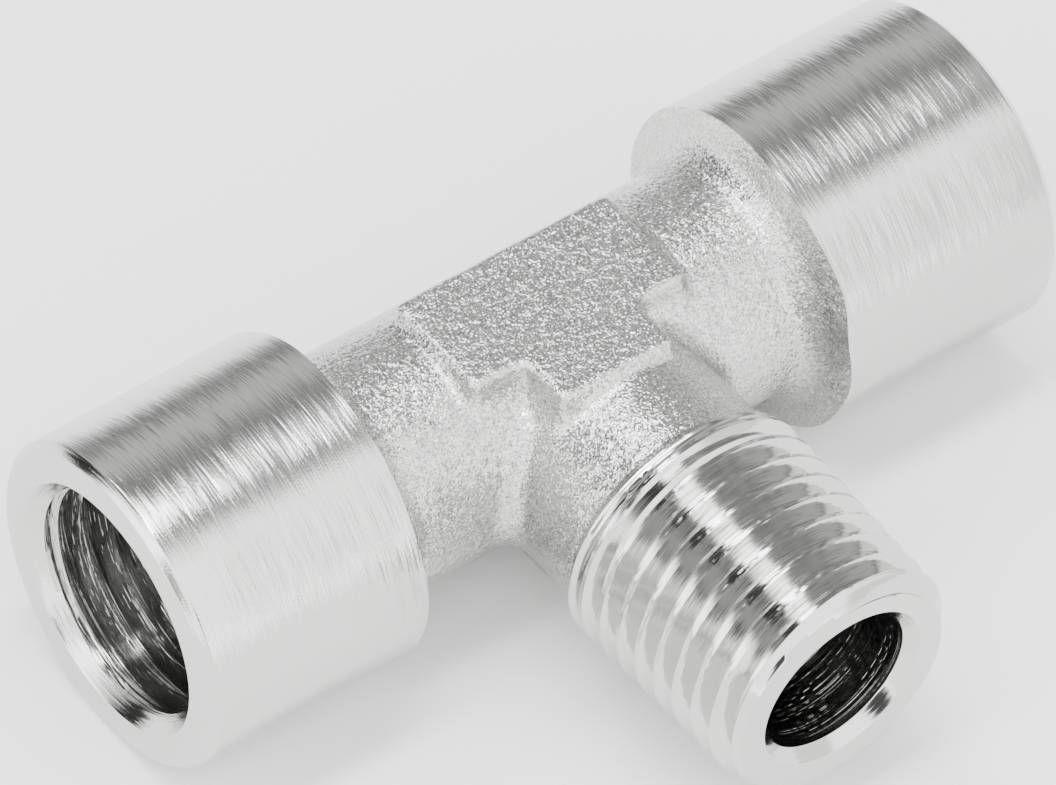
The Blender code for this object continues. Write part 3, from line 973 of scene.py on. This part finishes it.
def forged_nickel():
    """Bright nickel over a shot-blasted forging skin: packed grains with bright facets, and colour painted
    darker in their pits as shade and lighter on their tops as a highlight.
    """
    material, tree, shader = metal("blasted_forging_nickel", "#B2B2B0", roughness=0.2)
    grains = grain(tree, GRAIN, detail=1.5)
    dimples = grain(tree, DIMPLE, detail=1.0)
    coarse = bump(tree, dimples, depth=0.07, below=facets(tree, FACET, tilt=0.18))
    packed = bump(tree, grains, depth=0.038, below=coarse)
    tree.links.new(packed, shader.inputs["Normal"])
    roughened(tree, shader, grain(tree, PATCH), smooth=0.12, rough=0.22)
    # Painted shade and highlight: the grains' pits take the darker colour and their tops the lighter one
    paint_shade_and_highlight(tree, shader, grains, low=0.4, high=0.6, dark="#AEAEAC", light="#D2D2D0")
    return material


def turned_nickel():
    """Bright nickel over turned brass: fine tool lines run round the collar and its end face."""
    material, tree, shader = metal("turned_nickel", "#C8C8C6", roughness=0.11)
    round_it = tool_marks(tree, RUN_AXIS, TURNED_LINE, slow=3.6, detail=1.0)
    along_it = tool_marks(tree, RUN_AXIS, TURNED_LINE, slow=2.4, detail=1.0)
    lines = tilted(tree, RUN_AXIS, (round_it, along_it), tilt_round=0.26, tilt_along=0.24)
    normal = bump(tree, grain(tree, PLATING_GRAIN, detail=1.0), depth=0.006, below=lines)
    tree.links.new(normal, shader.inputs["Normal"])
    roughened(tree, shader, tool_marks(tree, RUN_AXIS, SLOW_LINE, slow=3.0), smooth=0.08, rough=0.16)
    return material


def threaded_nickel():
    """Bright nickel over the cut thread: smooth flanks with tool lines round the branch."""
    material, tree, shader = metal("cut_thread_nickel", "#C6C6C4", roughness=0.13)
    round_it = tool_marks(tree, BRANCH_AXIS, THREAD_LINE, slow=4.0, detail=1.0)
    along_it = tool_marks(tree, BRANCH_AXIS, THREAD_LINE, slow=5.0, detail=1.0)
    normal = tilted(tree, BRANCH_AXIS, (round_it, along_it), tilt_round=0.08, tilt_along=0.16)
    tree.links.new(normal, shader.inputs["Normal"])
    roughened(tree, shader, tool_marks(tree, BRANCH_AXIS, SLOW_LINE, slow=3.0), smooth=0.07, rough=0.15)
    return material


def scored(tree, axis, slow):
    """Tool marks of a bore that are mostly faint, with some deep scores among them."""
    from_mean = maths(tree, "SUBTRACT", tool_marks(tree, axis, TURNED_LINE, slow, detail=1.0), 0.5)
    squared = maths(tree, "MULTIPLY", from_mean, maths(tree, "ABSOLUTE", from_mean))
    return maths(tree, "ADD", maths(tree, "MULTIPLY", squared, SCORE_GAIN), 0.5)


def bored(name, axis, colour, tilt):
    """Nickel inside a port or bore, its colour painted darker as shade in the recess, with scores that
    catch the light.
    """
    material, tree, shader = metal(name, colour, roughness=0.15)
    marks = scored(tree, axis, slow=6.0), scored(tree, axis, slow=9.0)
    normal = tilted(tree, axis, marks, tilt_round=0.2, tilt_along=tilt)
    tree.links.new(normal, shader.inputs["Normal"])
    return material


def tapped_nickel():
    """Inside of the two tapped ports and the passage between them."""
    return bored("tapped_port_nickel", RUN_AXIS, "#B2B2B0", tilt=1.2)


def drilled_nickel():
    """Inside of the branch's drilled bore."""
    # The drilled bore's still darker colour is painted shade deep in the recess
    return bored("drilled_bore_nickel", BRANCH_AXIS, "#A2A2A0", tilt=0.8)


# Stage

# Camera fitted to the photograph, in millimetres from the crossing of the axes
CAMERA_PLACE = (-179.64, -208.82, 314.57)
CAMERA_AXES = (
    (0.794848, -0.604662, 0.051002),
    (0.430198, 0.620791, 0.655399),
    (-0.427956, -0.499001, 0.753559),
)
FOCAL_PIXELS = 8913.8
PHOTO_WIDTH = 1056
SENSOR_WIDTH = 36.0
NEAREST_SEEN = 0.01
FARTHEST_SEEN = 10.0

# Half the side of the floor, in metres
FLOOR_HALF = 3.0


def floor():
    """Plain pale floor that the fitting lies on."""
    mesh = bpy.data.meshes.new("floor")
    signs = ((-1, -1), (1, -1), (1, 1), (-1, 1))
    corners = [(x * FLOOR_HALF, y * FLOOR_HALF, 0.0) for x, y in signs]
    mesh.from_pydata(corners, [], [(0, 1, 2, 3)])
    ground = bpy.data.objects.new("floor", mesh)
    bpy.context.scene.collection.objects.link(ground)
    material = bpy.data.materials.new("pale_floor")
    material.use_nodes = True
    shader = material.node_tree.nodes["Principled BSDF"]
    shader.inputs["Base Color"].default_value = linear("#F4F4F4")
    shader.inputs["Roughness"].default_value = 0.9
    mesh.materials.append(material)


def camera():
    """Camera at the photograph's viewing angle."""
    data = bpy.data.cameras.new("camera")
    data.sensor_width = SENSOR_WIDTH
    data.lens = FOCAL_PIXELS * SENSOR_WIDTH / PHOTO_WIDTH
    data.clip_start = NEAREST_SEEN
    data.clip_end = FARTHEST_SEEN
    item = bpy.data.objects.new("camera", data)
    bpy.context.scene.collection.objects.link(item)
    right, up, back = [Vector(row) for row in CAMERA_AXES]
    turn = Matrix((right, up, back)).transposed().to_4x4()
    place = (np.array(CAMERA_PLACE) + CROSSING) * MM
    item.matrix_world = Matrix.Translation(place) @ turn
    bpy.context.scene.camera = item


# Studio light by its direction: the angle round the run in degrees, from the horizon behind over the
# top to the horizon in front, and the share of the direction that points along X
WALL_BEHIND = 1.0
WALL_IN_FRONT = 4.0
FRONT_STARTS = (104, 119)
DARKEST = 0.05
# Each softbox or dark flag: middle angle, half its width, softness of its edges, middle share along X,
# half its width, softness, and the light that it adds
SOFTBOXES = (
    (18, 8, 14, 0.0, 1.4, 0.2, -0.68),
    (62, 11, 20, 0.0, 1.4, 0.2, -0.68),
    (100, 4, 8, 0.0, 1.4, 0.2, -0.55),
    (87, 5, 6, -0.17, 0.54, 0.08, 16.0),
    (76, 1.5, 3, -0.17, 0.6, 0.14, 3.0),
    (86, 5, 8, -0.16, 0.30, 0.14, 8.0),
    (58, 10, 8, -0.08, 0.15, 0.08, 13.0),
    (56, 14, 8, -0.37, 0.16, 0.06, -0.5),
    (178, 4, 5, -0.57, 1.0, 0.14, 2.0),
    (60, 50, 20, -1.0, 0.22, 0.16, 5.5),
    (36, 14, 12, 0.84, 0.18, 0.1, 0.35),
    (58, 8, 8, 0.52, 0.05, 0.06, 0.2),
    (3, 10, 8, 0.85, 0.16, 0.12, 2.0),
    (8, 20, 12, -0.5, 0.2, 0.14, -0.95),
    (132, 26, 14, -1.0, 0.11, 0.04, -3.2),
    (163, 15, 10, -0.44, 0.2, 0.1, -3.9),
    (160, 36, 28, 0.75, 0.3, 0.14, -1.9),
)


def soft_step(tree, value, low, high):
    """Zero below low and one above high, with a soft step between."""
    item = node(tree, "ShaderNodeMapRange", {"Value": value}, interpolation_type="SMOOTHSTEP")
    item.inputs["From Min"].default_value = low
    item.inputs["From Max"].default_value = high
    return item.outputs["Result"]


def soft_box(tree, value, middle, half, soft):
    """One within half of the middle and zero outside, with soft edges."""
    away = maths(tree, "ABSOLUTE", maths(tree, "SUBTRACT", value, middle))
    return maths(tree, "SUBTRACT", 1.0, soft_step(tree, away, half - soft / 2, half + soft / 2))


def studio():
    """Soft studio light: a grey wall behind, a bright one in front, and softboxes and flags between."""
    world = bpy.data.worlds.new("studio")
    bpy.context.scene.world = world
    world.use_nodes = True
    tree = world.node_tree
    way = node(tree, "ShaderNodeTexCoord").outputs["Generated"]
    parts = node(tree, "ShaderNodeSeparateXYZ", {"Vector": way}).outputs
    angle = maths(tree, "DEGREES", maths(tree, "ARCTAN2", parts["Z"], parts["Y"]))
    front = soft_step(tree, angle, *FRONT_STARTS)
    light = maths(tree, "MULTIPLY_ADD", front, WALL_IN_FRONT - WALL_BEHIND)
    light.node.inputs[2].default_value = WALL_BEHIND
    for middle, half, soft, along, half_along, soft_along, adds in SOFTBOXES:
        box = maths(tree, "MULTIPLY", soft_box(tree, angle, middle, half, soft), adds)
        box = maths(tree, "MULTIPLY", box, soft_box(tree, parts["X"], along, half_along, soft_along))
        light = maths(tree, "ADD", light, box)
    light = maths(tree, "MAXIMUM", light, DARKEST)
    background = tree.nodes["Background"]
    background.inputs["Color"].default_value = (1.0, 1.0, 1.0, 1.0)
    tree.links.new(light, background.inputs["Strength"])


floor()
camera()
studio()
fitting_body()
